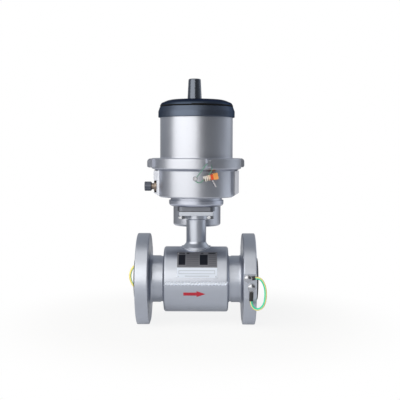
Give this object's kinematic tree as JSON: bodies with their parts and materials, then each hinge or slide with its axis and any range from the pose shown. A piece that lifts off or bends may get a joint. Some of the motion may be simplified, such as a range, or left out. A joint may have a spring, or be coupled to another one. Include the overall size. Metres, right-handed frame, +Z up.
{
  "type": "electromagnetic flow meter",
  "caption": "Flanged electromagnetic flow meter with a lined bore, a round transmitter on a neck, a hinged display lid with an antenna, a capped service port and earth straps.",
  "frame": {"origin": "centre of the bore, midway between the two flange faces", "axes": "+X along the bore in the direction of flow, +Z up through the neck to the antenna, -Y towards the nameplate side"},
  "size_m": [0.29, 0.2937, 0.5044],
  "materials": {
    "grey_paint": "satin silver-grey paint",
    "weld_paint": "painted weld bead",
    "dark_paint": "dark blue-grey semi-gloss paint",
    "antenna_plastic": "dark blue-grey plastic",
    "stainless": "bare stainless steel",
    "plate_metal": "blank anodised plate",
    "liner_rubber": "black hard rubber",
    "seal_rubber": "black rubber",
    "port_brass": "turned brass, dull nickel over it",
    "cap_plastic": "dark plastic",
    "clear_glass": "clear toughened glass",
    "ring_metal": "black anodised ring",
    "coil_copper": "enamelled copper winding",
    "iron": "plain soft iron",
    "bush_plastic": "white insulating plastic",
    "tray_plastic": "dark grey plastic",
    "cell_wrap": "wrapped lithium cells",
    "post_metal": "plain aluminium posts",
    "board": "green circuit board",
    "terminal_plastic": "green terminal blocks",
    "screen": "grey-green display, blank",
    "seal_clear": "clear to white seal body",
    "seal_orange": "orange seal insert",
    "seal_grey": "grey plastic tail",
    "lug_metal": "tinned copper lugs",
    "sleeve_plastic": "black shrink sleeve",
    "strap_wire": "green and yellow wire insulation",
    "seal_wire": "green coated seal wire"
  },
  "bodies": {
    "meter": {"housing_upper": "grey_paint", "housing_lower": "grey_paint", "neck": "grey_paint", "base_adapter": "grey_paint", "pot_housing": "grey_paint", "upper_can": "grey_paint", "canister_body": "grey_paint", "canister_cover": "grey_paint", "inlet_flange": "grey_paint", "outlet_flange": "grey_paint", "seam_welds": "weld_paint", "lid_band": "dark_paint", "measuring_tube": "stainless", "plate_bolts": "stainless", "plate_washers": "stainless", "adapter_screws": "stainless", "strap_screws": "stainless", "hinge_pin": "stainless", "seal_screw": "stainless", "cover_screws": "stainless", "saddle_screws": "stainless", "electrodes": "stainless", "electrode_nuts": "stainless", "nameplate": "plate_metal", "liner": "liner_rubber", "housing_seal": "seal_rubber", "neck_gasket": "seal_rubber", "port_connector": "port_brass", "display_window": "clear_glass", "window_ring": "ring_metal", "coils": "coil_copper", "cores": "iron", "yoke": "iron", "electrode_bushes": "bush_plastic", "battery_tray": "tray_plastic", "display_bezel": "tray_plastic", "battery_cells": "cell_wrap", "canister_cells": "cell_wrap", "frame_posts": "post_metal", "display_posts": "post_metal", "main_board": "board", "display_board": "board", "terminal_blocks": "terminal_plastic", "display_module": "screen", "seal_body": "seal_clear", "seal_insert": "seal_orange", "seal_tail": "seal_grey", "strap_lugs": "lug_metal", "strap_sleeves": "sleeve_plastic", "strap_wire_front": "strap_wire", "strap_wire_rear": "strap_wire", "seal_wire": "seal_wire", "seal_tie": "seal_wire"},
    "lid": {"lid": "dark_paint", "antenna_stub": "antenna_plastic", "antenna_nut": "stainless"},
    "cap": {"port_cap": "cap_plastic"}
  },
  "joints": [
    {"name": "lid_hinge", "type": "hinge", "parent": "meter", "child": "lid", "pos_m": [0, 0.0813, 0.3574], "axis": [-1, 0, 0], "range_deg": [0, 105]},
    {"name": "cap_turn", "type": "hinge", "parent": "meter", "child": "cap", "pos_m": [-0.0986, -0.018, 0.194], "axis": [-1, 0, 0], "range_deg": [0, 1080]}
  ]
}
